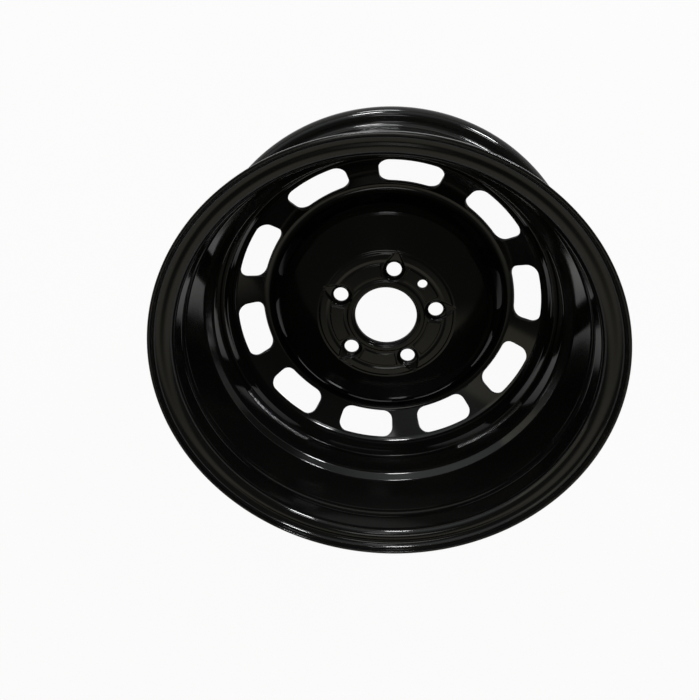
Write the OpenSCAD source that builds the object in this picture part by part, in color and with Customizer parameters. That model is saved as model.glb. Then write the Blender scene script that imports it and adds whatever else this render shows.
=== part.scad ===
// Pressed steel car wheel: a rolled rim, a pressed disc and the fillet welds that join them.
// The wheel lies on its outboard lip. Z runs along the axle towards the car, and Z = 0 is
// the face of the disc that bolts to the hub. Sizes are in millimetres.

/* [Rim] */
// Bead seat diameter at the flange, 16 inch
bead_seat_d = 405.6; // [390:0.1:440]
// Width between the bead flanges, 6 inch
rim_w = 152.4; // [146:0.1:178]
// Distance of the mounting face from the rim centre, towards the street
offset = 55; // [50:0.5:60]
// Thickness of the rim sheet
rim_t = 2.6; // [2.2:0.1:3.2]
// Height of the flange over the bead seat
flange_h = 17.3; // [16.8:0.1:20]
// Width of the flange from the bead face to the lip end
flange_w = 13; // [11.5:0.1:15]
// Curl radius of the lip on the tyre side
lip_r = 9.5; // [8:0.1:10]
// Corner radius between flange and bead seat
bead_r = 6.5; // [5:0.1:7]
// Width of the bead seat up to the hump
seat_w = 20.7; // [19.8:0.1:22]
// Taper of the bead seat in degrees
seat_taper = 5; // [4:0.5:6]
// Height of the safety hump at its crest corner
hump_h = 1.9; // [1.2:0.1:2.2]
// Width of the safety hump
hump_w = 9.8; // [9:0.1:11]
// Depth of the drop well below the bead seat
well_depth = 15; // [14:0.1:18]
// Distance of the well's outboard foot from the rim centre
well_start = 44; // [42:0.5:45]
// Width of the drop well between its two feet
well_w = 36; // [34:0.5:40]
// Height of the step from the well to the ledge
step_h = 7; // [6:0.1:8]
// Width of the step from the well to the ledge
step_w = 8.4; // [7:0.1:10]
// Diameter of the valve hole
valve_d = 11.3; // [11.3:0.1:12]
// Angle of the valve hole round the wheel
valve_angle = 180; // [0:1:359]

/* [Disc] */
// Thickness of the disc sheet
disc_t = 4.2; // [3.6:0.1:4.6]
// Diameter of the centre bore
bore_d = 70.5; // [66:0.1:73]
// Depth of the bore collar behind the mounting face
collar_depth = 7.5; // [7:0.1:10]
// Wall of the bore collar
collar_t = 3.8; // [3:0.1:4.2]
// Radius of the hub pad
pad_r = 79; // [78:0.5:84]
// Height of the coined lands that meet the hub
land_h = 0.8; // [0.4:0.1:1]
// Slope of the bowl floor in degrees
floor_angle = 14; // [11:0.5:16]
// Slope of the bowl wall in degrees
wall_angle = 48; // [44:0.5:52]
// Slope of the vented shoulder in degrees
vent_slope = 36.4; // [35:0.1:38]
// Depth of the crown corner behind the mounting face
crown_depth = 31; // [29:0.1:31.5]
// Depth of the fold between shoulder and skirt behind the mounting face
fold_depth = 3; // [2:0.1:5]
// Distance of the fold inside the skirt
fold_inset = 3.6; // [3:0.1:5]
// Bend radius of the crown on the hub side
crown_bend = 8.5; // [7:0.1:9.5]
// Length of skirt that laps the flat of the drop well
skirt_lap = 11; // [9:0.5:13]
// Radial play between the skirt and the drop well
skirt_fit = 0.05; // [0.02:0.01:0.2]

/* [Bolting] */
// Number of wheel bolts
bolt_count = 5; // [5:1:5]
// Diameter of the bolt circle
bolt_circle_d = 114.3; // [110:0.1:118]
// Diameter of each bolt hole at its throat
bolt_hole_d = 16.8; // [15:0.1:17.5]
// Length of the straight throat of a bolt hole
throat_len = 1.7; // [1.2:0.1:2.2]
// Depth of the dish round a bolt hole below the pad
dish_depth = 3.4; // [2.6:0.1:3.8]
// Radius of the dish round a bolt hole
dish_r = 12.5; // [11.5:0.1:13]
// Depth of the dish's tail below the pad, beside the bolt
tail_depth = 2.6; // [1.5:0.1:3]
// Included angle of the conical nut seat in degrees
seat_angle = 60; // [56:1:66]
// Diameter of the nut seat at its mouth
nut_seat_d = 22.4; // [21:0.1:23]
// Diameter of the locating hole between two bolts
locator_d = 10.8; // [8:0.1:12]

/* [Vents] */
// Number of vent windows
vent_count = 10; // [8:1:10]
// Height of a vent window along the slope
vent_h = 33.7; // [28:0.1:34]
// Width of a vent window at its inner edge, before rounding
vent_inner_w = 61; // [50:0.5:62]
// Width of a vent window at its outer edge, before rounding
vent_outer_w = 72; // [60:0.5:73]
// Corner radius at the inner edge
vent_inner_r = 13.5; // [10:0.5:15]
// Corner radius at the outer edge
vent_outer_r = 10; // [8:0.5:12]
// Distance of the inner edge from the crown corner, along the slope
vent_margin = 7.7; // [7.5:0.1:9]

/* [Welds] */
// Number of weld beads
weld_count = 4; // [3:1:6]
// Length of each bead round the rim in degrees
weld_span = 31; // [20:1:40]
// Angle of the first bead's middle
weld_angle = 34.7; // [0:0.1:90]
// Leg of the fillet along the drop well
weld_leg = 5.4; // [4:0.1:7]
// Play between bead and sheet
weld_fit = 0.02; // [0.01:0.01:0.05]

/* [Hidden] */
$fn = 96;
paint = [0.06, 0.06, 0.065];
weld_paint = [0.09, 0.09, 0.095];

// Points on each rounded corner, small fillet of a cut sheet edge and reach of every cutter
arc_steps = 6;
edge_r = 0.9;
reach = 20;

// Bends of the rim on the tyre side
hump_bend = 6;
outboard_hump_bend = 3.6;
ledge_bend = 8;
step_bend = 6.5;
well_bend = 5;

// Rim radii and axial stations
seat_r = bead_seat_d / 2;
flange_r = seat_r + flange_h;
hump_foot_r = seat_r - seat_w * tan(seat_taper);
hump_r = hump_foot_r + hump_h;
well_r = seat_r - well_depth;
ledge_r = well_r + step_h;
outboard_face = offset - rim_w / 2;
inboard_face = offset + rim_w / 2;
well_foot = offset - well_start;
well_end = well_foot + well_w;

// Bends of the disc on the hub side
bore_bend = 3;
pad_bend = 4;
bowl_bend = 22;
fold_bend = 16;
skirt_bend = 12;
collar_bend = 0.8;

// Disc radii and stations, worked outwards from the pad and inwards from the rim
bore_r = bore_d / 2;
pad_z = -land_h;
skirt_r = well_r - rim_t - skirt_fit - disc_t;
skirt_edge = well_foot + skirt_lap;
skirt_root = (skirt_edge - fold_depth) / 2;
fold = [skirt_r - fold_inset, -fold_depth];
crown = fold - (crown_depth - fold_depth) * [1 / tan(vent_slope), 1];
bowl_r = (crown.y - pad_z + crown.x * tan(wall_angle) - pad_r * tan(floor_angle))
         / (tan(wall_angle) - tan(floor_angle));
bowl = [bowl_r, pad_z - (bowl_r - pad_r) * tan(floor_angle)];

// Lands, bolts and vents
bolt_pitch = 360 / bolt_count;
bolt_r = bolt_circle_d / 2;
throat_r = bolt_hole_d / 2;
throat_z = pad_z - dish_depth;
seat_z = throat_z - throat_len;
seat_mouth_r = nut_seat_d / 2;
seat_mouth_z = seat_z - (seat_mouth_r - throat_r) / tan(seat_angle / 2);
boss_rim = 1.3;
boss_slope = 3.2;
dish_floor_gap = 0.7;
land_edge_gap = 2;
collar_land_gap = 0.6;
collar_groove_w = 4.4;
ring_groove_w = 2.6;
ring_edge_w = 2.5;
tail_overrun = 0.5;
inner_land_r = bolt_r - 8.9;
outer_land_r = bolt_r + 6.4;
ring_land_r = pad_r - ring_edge_w;
dish_floor_r = throat_r + dish_floor_gap;
tail_len = pad_r + tail_overrun - bolt_r;
tail_root_r = (dish_r + dish_floor_r) / 2;
tail_root_angle = acos(tail_root_r / tail_len);
land_half_gap = asin((dish_r + land_edge_gap) / bolt_r);
vent_mid = crown + (vent_margin + vent_h / 2) * [cos(vent_slope), sin(vent_slope)];
vent_bow_r = vent_mid.x / cos(vent_slope);

// Weld section and the valve hole's place on the outboard wall of the well
weld_pitch = 360 / weld_count;
weld_toe = 0.6;
weld_bulge = 0.9;
hump_crest = [hump_r, outboard_face + seat_w + hump_w / 2];
wall_foot = [well_r, well_foot];
wall_mid = (hump_crest + wall_foot) / 2;
wall_tilt = atan2(wall_foot.y - hump_crest.y, hump_crest.x - wall_foot.x);

function unit(v) = v / norm(v);
function left(v) = [-v.y, v.x];
function turn(a, b, c) = cross(b - a, c - b);
function place(p) = [p[0], p[1]];
function reversed(list) = [for (k = [len(list) - 1 : -1 : 0]) list[k]];

// Points of one corner [x, y, radius] of a closed outline, rounded by an arc
function corner_arc(a, b, c, r) =
    let (u = unit(a - b), v = unit(c - b), half = acos(u * v) / 2,
         centre = b + unit(u + v) * r / sin(half),
         from = b + u * r / tan(half) - centre,
         start = atan2(from.y, from.x),
         sweep = sign(turn(a, b, c)) * (180 - 2 * half))
    [for (k = [0 : arc_steps]) centre + r * [cos(start + sweep * k / arc_steps),
                                             sin(start + sweep * k / arc_steps)]];

// Points of a closed outline given as corners [x, y, radius]
function rounded(loop) =
    let (n = len(loop))
    [for (i = [0 : n - 1])
        let (a = place(loop[(i + n - 1) % n]), b = place(loop[i]), c = place(loop[(i + 1) % n]))
        for (p = loop[i][2] > 0 ? corner_arc(a, b, c, loop[i][2]) : [b]) p];

// The other face of a bent sheet: each corner of the path moved sideways by t
function other_face(path, t) =
    let (last = len(path) - 1)
    [for (i = [0 : last])
        let (b = place(path[i]),
             d1 = unit(i == 0 ? place(path[1]) - b : b - place(path[i - 1])),
             d2 = unit(i == last ? b - place(path[last - 1]) : place(path[i + 1]) - b),
             p = b + t * (left(d1) + left(d2)) / (1 + d1 * d2),
             bend = i == 0 || i == last ? edge_r : path[i][2] - t * sign(cross(d1, d2)))
        [p.x, p.y, bend]];

// Tyre side of the rim from the outboard lip to the inboard lip
rim_path = [
    [flange_r, outboard_face - flange_w, edge_r],
    [flange_r, outboard_face, lip_r],
    [seat_r, outboard_face, bead_r],
    [hump_foot_r, outboard_face + seat_w, hump_bend],
    [hump_crest.x, hump_crest.y, outboard_hump_bend],
    [wall_foot.x, wall_foot.y, well_bend],
    [well_r, well_end, well_bend],
    [ledge_r, well_end + step_w, step_bend],
    [hump_foot_r - hump_h / 2, inboard_face - seat_w - hump_w, ledge_bend],
    [hump_r, inboard_face - seat_w - hump_w / 2, hump_bend],
    [hump_foot_r, inboard_face - seat_w, hump_bend],
    [seat_r, inboard_face, bead_r],
    [flange_r, inboard_face, lip_r],
    [flange_r, inboard_face + flange_w, edge_r]];

// Hub side of the disc from the bore to the skirt's edge
disc_path = [
    [bore_r, pad_z, bore_bend],
    [pad_r, pad_z, pad_bend],
    [bowl.x, bowl.y, bowl_bend],
    [crown.x, crown.y, crown_bend],
    [fold.x, fold.y, fold_bend],
    [skirt_r, skirt_root, skirt_bend],
    [skirt_r, skirt_edge, edge_r]];

// Collar at the bore, from its root on the street side of the pad to the bore wall
collar_path = [
    [bore_r + collar_t, pad_z - disc_t, collar_bend],
    [bore_r + collar_t, -collar_depth, edge_r],
    [bore_r, -collar_depth, edge_r]];

// Vent window flat on the slope, with its long edges bowed round the wheel
vent_corners = [
    [vent_inner_w / 2, -vent_h / 2, vent_inner_r],
    [vent_outer_w / 2, vent_h / 2, vent_outer_r],
    [0, vent_h / 2, 0],
    [-vent_outer_w / 2, vent_h / 2, vent_outer_r],
    [-vent_inner_w / 2, -vent_h / 2, vent_inner_r],
    [0, -vent_h / 2, 0]];

module around(count, first = 0) {
    for (k = [0 : count - 1]) rotate(first + k * 360 / count) children();
}

module ring_band(r1, r2, z1, z2, first = 0, sweep = 360) {
    rotate_extrude(angle = sweep, start = first) translate([r1, z1]) square([r2 - r1, z2 - z1]);
}

// Flat lands that meet the hub: a ring round the bore, an outer ring and one land between each two bolts
module hub_lands() {
    root = pad_z - land_h;
    ring_band(bore_r + bore_bend + collar_land_gap, inner_land_r - collar_groove_w, root, 0);
    ring_band(outer_land_r + ring_groove_w, ring_land_r, root, 0);
    for (k = [0 : bolt_count - 1])
        ring_band(inner_land_r, outer_land_r, root, 0,
                  k * bolt_pitch + land_half_gap, bolt_pitch - 2 * land_half_gap);
}

// Raised boss on the street side, which holds the nut's conical seat
module nut_boss() {
    pad_back = pad_z - disc_t;
    boss_r = seat_mouth_r + boss_rim;
    rotate_extrude() polygon([[0, pad_back + disc_t / 2], [boss_r + boss_slope, pad_back + disc_t / 2],
        [boss_r + boss_slope, pad_back], [boss_r, seat_mouth_z], [0, seat_mouth_z]]);
}

// Nut seat, throat and the dish on the hub side
module nut_cut() {
    rotate_extrude() polygon([[0, reach], [dish_r, reach], [dish_r, pad_z],
        [dish_floor_r, throat_z], [throat_r, throat_z], [throat_r, seat_z],
        [seat_mouth_r, seat_mouth_z], [seat_mouth_r, -reach], [0, -reach]]);
}

// Tail of the dish: it narrows and rises from the bolt to the edge of the pad
module tail_cut() {
    root = tail_root_r * [cos(tail_root_angle), sin(tail_root_angle)];
    translate([0, 0, pad_z - tail_depth]) rotate([0, -atan2(tail_depth, tail_len), 0])
        linear_extrude(reach) polygon([[root.x, -root.y], [tail_len, 0], root]);
}

module vent_cut() {
    flat = rounded(vent_corners);
    translate([vent_mid.x, 0, vent_mid.y]) rotate([0, -vent_slope, 0]) rotate(-90)
        linear_extrude(reach, center = true)
            polygon([for (p = flat) [p.x, p.y - p.x * p.x / (2 * vent_bow_r)]]);
}

module valve_cut() {
    rotate(valve_angle) translate([wall_mid.x, 0, wall_mid.y]) rotate([0, wall_tilt, 0])
        cylinder(d = valve_d, h = reach, center = true);
}

module rim_barrel() {
    color(paint) difference() {
        rotate_extrude()
            polygon(rounded(concat(rim_path, reversed(other_face(rim_path, rim_t)))));
        valve_cut();
    }
}

module wheel_disc() {
    street_side = other_face(disc_path, -disc_t);
    sheet = concat(disc_path, [for (k = [len(disc_path) - 1 : -1 : 1]) street_side[k]], collar_path);
    color(paint) difference() {
        union() {
            rotate_extrude() polygon(rounded(sheet));
            hub_lands();
            around(bolt_count) translate([bolt_r, 0, 0]) nut_boss();
        }
        around(bolt_count) translate([bolt_r, 0, 0]) {
            nut_cut();
            tail_cut();
        }
        rotate(bolt_pitch / 2) translate([bolt_r, 0, 0])
            cylinder(d = locator_d, h = reach, center = true);
        around(vent_count) vent_cut();
    }
}

module weld_beads() {
    wall = well_r - rim_t - weld_fit;
    foot = skirt_edge + weld_fit;
    root = wall - disc_t + weld_toe;
    middle = [(root + wall) / 2 - weld_bulge, foot + weld_leg / 2 + weld_bulge];
    color(weld_paint) for (k = [0 : weld_count - 1])
        rotate_extrude(angle = weld_span, start = weld_angle - weld_span / 2 + k * weld_pitch)
            polygon([[root, foot], [wall, foot], [wall, foot + weld_leg], middle]);
}

rim_barrel();
wheel_disc();
weld_beads();
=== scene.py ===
"""Black pressed steel car wheel without a tyre, seen from its hub side.

The rim and the plain stretches of the disc are turned from their sections, the vent windows are one sector
repeated round the wheel, and the hub pad is a fine sheet whose heights follow its lands and bolt dishes.
Sizes are in millimetres and degrees, in the frame of the solids: Z runs along the axle towards the car.
"""
import math
from functools import partial

import bmesh
import bpy
import numpy as np
from mathutils import Matrix, Vector
from mathutils.geometry import delaunay_2d_cdt


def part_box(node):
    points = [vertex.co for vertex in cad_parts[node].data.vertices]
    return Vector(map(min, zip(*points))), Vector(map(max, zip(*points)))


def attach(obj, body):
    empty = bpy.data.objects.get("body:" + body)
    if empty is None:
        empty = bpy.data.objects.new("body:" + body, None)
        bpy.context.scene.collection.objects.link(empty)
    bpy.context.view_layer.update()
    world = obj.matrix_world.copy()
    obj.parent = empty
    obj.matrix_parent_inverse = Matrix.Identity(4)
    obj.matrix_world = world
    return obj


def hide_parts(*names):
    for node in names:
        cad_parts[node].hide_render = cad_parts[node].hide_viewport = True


MM = 0.001
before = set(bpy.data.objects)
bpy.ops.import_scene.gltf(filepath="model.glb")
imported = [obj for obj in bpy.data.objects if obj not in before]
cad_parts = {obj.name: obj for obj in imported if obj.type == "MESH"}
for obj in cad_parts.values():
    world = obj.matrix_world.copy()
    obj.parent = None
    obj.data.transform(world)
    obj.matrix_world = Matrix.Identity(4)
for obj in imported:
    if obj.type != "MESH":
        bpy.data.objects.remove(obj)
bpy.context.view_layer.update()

# Rim section
BEAD_SEAT_D = 405.6
RIM_W = 152.4               # between the flanges
RIM_OFFSET = 55.0           # from the mounting face to the rim's centre
RIM_T = 2.6
FLANGE_H, FLANGE_W = 17.3, 13.0
SEAT_W, SEAT_TAPER = 20.7, 5.0
HUMP_H, HUMP_W = 1.9, 9.8
WELL_DEPTH, WELL_W = 15.0, 36.0
WELL_START = 44.0           # from the rim's centre to the well's outboard end
STEP_H, STEP_W = 7.0, 8.4
LIP_R, BEAD_R = 9.5, 6.5
HUMP_BEND, OUTBOARD_HUMP_BEND = 6.0, 3.6
LEDGE_BEND, STEP_BEND, WELL_BEND = 8.0, 6.5, 5.0
EDGE_R = 0.9                # of the cut edges of rim and disc

# Valve hole
VALVE_D, VALVE_ANGLE = 11.3, 180.0
VALVE_EDGE_W = 0.5          # of the broken edge
DRILL_REACH = 9.0           # of the cutting tool to each side of the wall's middle

# Disc section
DISC_T = 4.2
BORE_D = 70.5
COLLAR_DEPTH, COLLAR_T = 7.5, 3.8
PAD_R = 79.0
LAND_H = 0.8
FLOOR_ANGLE, WALL_ANGLE = 14.0, 48.0
CROWN_DEPTH = 31.0
VENT_SLOPE = 36.4
FOLD_DEPTH, FOLD_INSET = 3.0, 3.6
SKIRT_LAP = 11.0            # of the skirt inside the well
SKIRT_FIT = 0.05            # between skirt and well
BORE_BEND, PAD_BEND, BOWL_BEND, CROWN_BEND = 3.0, 4.0, 22.0, 8.5
FOLD_BEND, SKIRT_BEND, COLLAR_BEND = 16.0, 12.0, 0.8

# Bolt holes with their dishes, tails, nut seats and bosses, and the locating hole
BOLT_COUNT, BOLT_CIRCLE_D, BOLT_HOLE_D = 5, 114.3, 16.8
THROAT_LEN = 1.7
DISH_DEPTH, DISH_R, DISH_FLOOR_GAP = 3.4, 12.5, 0.7
DISH_BLEND = 1.0            # of the soft edge where a dish meets the pad
TAIL_DEPTH, TAIL_OVERRUN = 2.6, 0.5
TAIL_STEEP = 1.1            # rise of a tail's sides
SEAT_ANGLE, NUT_SEAT_D = 60.0, 22.4
BOSS_RIM, BOSS_SLOPE = 1.3, 3.2
MOUTH_BEND, BOSS_BEND, BOSS_FOOT_BEND = 0.5, 0.8, 1.0
BOSS_BORDER = 2.0           # of flat sheet past a boss's foot
LOCATOR_D, LOCATOR_EDGE_R = 10.8, 0.6

# Coined lands and rings of the pad, with the width of the slope at each edge
LAND_INSIDE, LAND_OUTSIDE = 8.9, 6.4        # from the bolt circle
LAND_EDGE_GAP = 2.0                         # from a dish to the next land
COLLAR_LAND_GAP, COLLAR_GROOVE_W = 0.6, 4.4
RING_GROOVE_W, RING_EDGE_W = 2.6, 2.5
LAND_SLOPE_W = 1.2
COLLAR_SLOPE_W, GROOVE_SLOPE_W = 0.8, 1.8
RING_INNER_SLOPE_W, RING_OUTER_SLOPE_W = 3.4, 2.4
RING_INNER_SHIFT, RING_OUTER_SHIFT = 1.2, 0.4   # of the middle of the outer ring's wide slopes

# Vent windows
VENT_COUNT = 10
VENT_H, VENT_INNER_W, VENT_OUTER_W = 33.7, 61.0, 72.0
VENT_INNER_R, VENT_OUTER_R = 13.5, 10.0
VENT_MARGIN = 7.7           # from the crown to a window
VENT_EDGE_R = 0.8

# Weld beads
WELD_COUNT, WELD_SPAN, WELD_ANGLE = 4, 31.0, 34.7
WELD_LEG, WELD_FIT = 5.4, 0.02
WELD_TOE_GAP = 0.6          # from a bead's toe to the skirt's inner face
WELD_BULGE = 0.9
WELD_END_LEN, WELD_END_LEAST = 4.0, 0.02    # a bead's ends taper over this length, down to this share
WELD_FILL = 0.9             # usual size of a bead, as a share of its full legs
RIPPLE_LEN, RIPPLE_H = 2.1, 0.12
RIPPLE_DRIFT, RIPPLE_DRIFT_WAVE = 0.35, 0.7
WANDER_H = 0.05
LONG_WAVE, SHORT_WAVE = 0.31, 0.83          # radians in a millimetre
SHORT_SHARE, SHORT_LAG = 0.6, 1.1

# Fineness of the meshes
RIM_STEPS, DISC_STEPS = 288, 320            # round the wheel
BOLT_STEPS, LOCATOR_STEPS, VALVE_STEPS = 64, 40, 48
BEND_STEP = 9.0             # degrees in one step of a bend
SUPPORT = 0.5               # from each end of a long straight stretch to its support point
SUPPORTED_LEN = 4 * SUPPORT
VENT_POINTS, VENT_SMOOTHING = 720, 4
VENT_EDGE_STEPS = 4
SECTOR_ROWS = (0, 0.22, 0.42, 0.58, 0.72, 0.83, 0.91, 0.96, 1)      # shares of the way to the window
SLOPE_STEPS = 7
FACE_TRIES = 8              # rounds in which a point of a window is moved onto the curved face
PAD_ROWS, BACK_ROWS = 50, 10
PAD_BORDER, COLLAR_BORDER = 1.5, 0.3        # of the pad's sheets past the pad's edge and the collar
TAIL_FINE_W = 9.0           # half width of the finer stretch along a tail
DISH_RINGS = (0, 0.3, 0.6, 0.9, 1.3, 1.9, 2.6, 3.3, 3.9, 4.4, 4.9, 5.4, 5.9)     # from a bolt hole's wall
LOCATOR_RINGS = (0, 0.1, 0.3, 0.6, 1, 1.6)  # from the locating hole's wall, in radii of its edge
RING_CLEAR = 0.35           # between the rings round a hole and the sheet's own points
BOSS_RING_GAP = 0.05        # least distance of two rings of a boss
WELD_STEPS, WELD_SECTION_STEPS = 260, 14
TURNING_R = 200.0           # of the circle that sections are swept along
SHARP_ANGLE = 50.0          # past which an edge is shaded as a sharp one

# Tolerances
MERGE_DISTANCE = 2e-6       # in metres
SAME_POINT = 1e-6
PLAN_EPSILON = 1e-5
ROUNDING = 1e-4
ON_PAD, ON_SHOULDER = 0.01, 0.005           # distance at which a point counts as on a face
PAD_EDGE_GAP, HOLE_EDGE_GAP = 0.1, 0.05     # that a point keeps from the pad's borders and from its holes
SLOPE_REACH = 0.1           # to each side, where the pad's slope is taken

# Paint: base colour, dust colour, roughness from clear to cloudy, and strength of the orange peel
BLACK_GLOSS = ((0.0045, 0.0045, 0.0043), (0.0065, 0.0062, 0.0053), (0.08, 0.12), 0.025)
WELD_COAT = ((0.006, 0.006, 0.006), (0.010, 0.0095, 0.008), (0.12, 0.22), 0.12)
CLOUD_NOISE, GRIT_NOISE, PEEL_NOISE = (16.0, 5.0), (420.0, 3.0), (700.0, 1.0)       # scale and detail
DUST_RANGE, CLOUD_RANGE = (0.22, 0.42), (0.3, 0.7)
PEEL_H = 0.0002             # in metres
PAINT_SPECULAR = 0.5

# Camera: the view of the photograph, given from the centre of the inboard lip
VIEW_TILT, VIEW_DISTANCE, VIEW_SPIN = 31.5924, 539.54, -12.8
VIEW_YAW, VIEW_PITCH, VIEW_ROLL = 3.007, -3.27, 4.578
SENSOR_W, LENS = 36.0, 29.91
LIP_CENTRE = Vector((0, 0, 144.0))
CLIP_START = 0.01           # in metres

# Lamps: angle off the axle, angle round it, width, height, glow and colour
LAMP_DISTANCE = 2000.0
LAMPS = (("lamp_near", 3, 170, 420, 420, 1.7, (1.0, 0.99, 0.96)),
         ("lamp_second", 29, 96, 270, 270, 2.6, (1, 1, 1)),
         ("lamp_third", 47, 101, 500, 120, 3, (1, 1, 1)),
         ("lamp_middle", 65, 103, 340, 160, 48, (1, 1, 1)),
         ("lamp_far", 66, 57, 340, 160, 66, (0.96, 0.98, 1.0)),
         ("lamp_low", 86.5, 98, 520, 150, 24, (0.96, 0.98, 1.0)),
         ("side_lamp", 50, 56, 350, 150, 10, (1, 1, 1)),
         ("warm_wall", 56, 182, 1400, 1000, 0.4, (1.0, 0.95, 0.7)))

# Pale sides of the dark room: direction, angles from it at which the paleness starts and is full, and colour
ROOM_DARK = (0.054, 0.055, 0.050)
ROOM_SIDES = (((66, -81), 50.2, 28.4, (0.44, 0.42, 0.34)),
              ((110, 118), 86.0, 42.0, (0.66, 0.69, 0.70)))

# Floor and backdrop: half section, steps round it, and how white they are to the eye and in reflections
BACKDROP_R, BACKDROP_H = 6000.0, 2400.0
FLOOR_MIDDLE_R = 1.0
COVE_W, COVE_H = 800.0, 800.0               # of the bend from the floor to the wall
COVE_KNEE_W, COVE_KNEE_H = 200.0, 150.0     # of the bend's middle point, from the wall and the floor
FLOOR_STEPS = 96
FLOOR_COLOUR, FLOOR_ROUGHNESS = (0.8, 0.8, 0.8), 0.9
SEEN_WHITE, MIRRORED_WHITE = 0.95, 0.2


def unit(v):
    return v / np.linalg.norm(v)


def left(v):
    return np.array([-v[1], v[0]])


def bend(a, b, c, radius):
    """Points of the corner b between a and c, rounded by an arc."""
    a, b, c = (np.array(p[:2], float) for p in (a, b, c))
    if radius <= 0:
        return np.array([b])
    u, v = unit(a - b), unit(c - b)
    half = math.acos(float(np.clip(u @ v, -1, 1))) / 2
    centre = b + unit(u + v) * radius / math.sin(half)
    start = b + u * radius / math.tan(half) - centre
    turn = math.copysign(math.pi - 2 * half, (b - a)[0] * (c - b)[1] - (b - a)[1] * (c - b)[0])
    steps = 2 * max(1, math.ceil(math.degrees(abs(turn)) / BEND_STEP / 2))
    angles = math.atan2(start[1], start[0]) + turn * np.arange(steps + 1) / steps
    return centre + radius * np.column_stack([np.cos(angles), np.sin(angles)])


def bends(loop):
    """One array of points for each corner (x, y, radius) of a closed outline."""
    n = len(loop)
    return [bend(loop[i - 1], loop[i], loop[(i + 1) % n], loop[i][2]) for i in range(n)]


def other_face(path, t):
    """The other face of a bent sheet: each corner of the path moved sideways by t."""
    out = []
    last = len(path) - 1
    for i, (x, y, radius) in enumerate(path):
        b = np.array([x, y])
        d1 = unit(b - path[i - 1][:2] if i else np.array(path[1][:2]) - b)
        d2 = unit(np.array(path[i + 1][:2]) - b if i < last else b - path[i - 1][:2])
        p = b + t * (left(d1) + left(d2)) / (1 + d1 @ d2)
        side = np.sign(d1[0] * d2[1] - d1[1] * d2[0])
        out.append((p[0], p[1], EDGE_R if i in (0, last) else radius - t * side))
    return out


def chain(*parts):
    """One polyline from several, with a support point beside each end of a long straight stretch."""
    points = np.vstack(parts)
    out = [points[0]]
    for a, b in zip(points[:-1], points[1:]):
        length = np.linalg.norm(b - a)
        if length < SAME_POINT:
            continue
        if length > SUPPORTED_LEN:
            out += [a + (b - a) * SUPPORT / length, b - (b - a) * SUPPORT / length]
        out.append(b)
    return np.array(out)


def lengths_along(path):
    """Distance along a polyline at each of its points."""
    return np.concatenate([[0], np.cumsum(np.linalg.norm(np.diff(path, axis=0), axis=1))])


def on_profile(profile, distance):
    """Radius and height at distances along a polyline."""
    lengths = lengths_along(profile)
    return np.interp(distance, lengths, profile[:, 0]), np.interp(distance, lengths, profile[:, 1])


def round_axle(radius, angle, height):
    return np.column_stack([radius * np.cos(angle), radius * np.sin(angle), height])


# Rim stations and section
SEAT_R = BEAD_SEAT_D / 2
FLANGE_R = SEAT_R + FLANGE_H
HUMP_FOOT_R = SEAT_R - SEAT_W * math.tan(math.radians(SEAT_TAPER))
HUMP_R = HUMP_FOOT_R + HUMP_H
WELL_R = SEAT_R - WELL_DEPTH
OUTBOARD_FACE, INBOARD_FACE = RIM_OFFSET - RIM_W / 2, RIM_OFFSET + RIM_W / 2
WELL_FOOT = RIM_OFFSET - WELL_START
WELL_END = WELL_FOOT + WELL_W
HUMP_CREST = np.array([HUMP_R, OUTBOARD_FACE + SEAT_W + HUMP_W / 2])
WALL_FOOT = np.array([WELL_R, WELL_FOOT])
RIM_PATH = [
    (FLANGE_R, OUTBOARD_FACE - FLANGE_W, EDGE_R),
    (FLANGE_R, OUTBOARD_FACE, LIP_R),
    (SEAT_R, OUTBOARD_FACE, BEAD_R),
    (HUMP_FOOT_R, OUTBOARD_FACE + SEAT_W, HUMP_BEND),
    (HUMP_CREST[0], HUMP_CREST[1], OUTBOARD_HUMP_BEND),
    (WALL_FOOT[0], WALL_FOOT[1], WELL_BEND),
    (WELL_R, WELL_END, WELL_BEND),
    (WELL_R + STEP_H, WELL_END + STEP_W, STEP_BEND),
    (HUMP_FOOT_R - HUMP_H / 2, INBOARD_FACE - SEAT_W - HUMP_W, LEDGE_BEND),
    (HUMP_R, INBOARD_FACE - SEAT_W - HUMP_W / 2, HUMP_BEND),
    (HUMP_FOOT_R, INBOARD_FACE - SEAT_W, HUMP_BEND),
    (SEAT_R, INBOARD_FACE, BEAD_R),
    (FLANGE_R, INBOARD_FACE, LIP_R),
    (FLANGE_R, INBOARD_FACE + FLANGE_W, EDGE_R)]

# Disc stations and section
BORE_R, BOLT_R, THROAT_R = BORE_D / 2, BOLT_CIRCLE_D / 2, BOLT_HOLE_D / 2
PAD_Z = -LAND_H
PAD_BACK = PAD_Z - DISC_T
SKIRT_R = WELL_R - RIM_T - SKIRT_FIT - DISC_T
SKIRT_EDGE = WELL_FOOT + SKIRT_LAP
SKIRT_ROOT = (SKIRT_EDGE - FOLD_DEPTH) / 2
TAN_FLOOR, TAN_WALL = math.tan(math.radians(FLOOR_ANGLE)), math.tan(math.radians(WALL_ANGLE))
UP_SLOPE = np.array([math.cos(math.radians(VENT_SLOPE)), math.sin(math.radians(VENT_SLOPE))])
OFF_SLOPE = left(UP_SLOPE)
FOLD = np.array([SKIRT_R - FOLD_INSET, -FOLD_DEPTH])
CROWN = FOLD - UP_SLOPE * (CROWN_DEPTH - FOLD_DEPTH) / UP_SLOPE[1]
BOWL_R = (CROWN[1] - PAD_Z + CROWN[0] * TAN_WALL - PAD_R * TAN_FLOOR) / (TAN_WALL - TAN_FLOOR)
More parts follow.
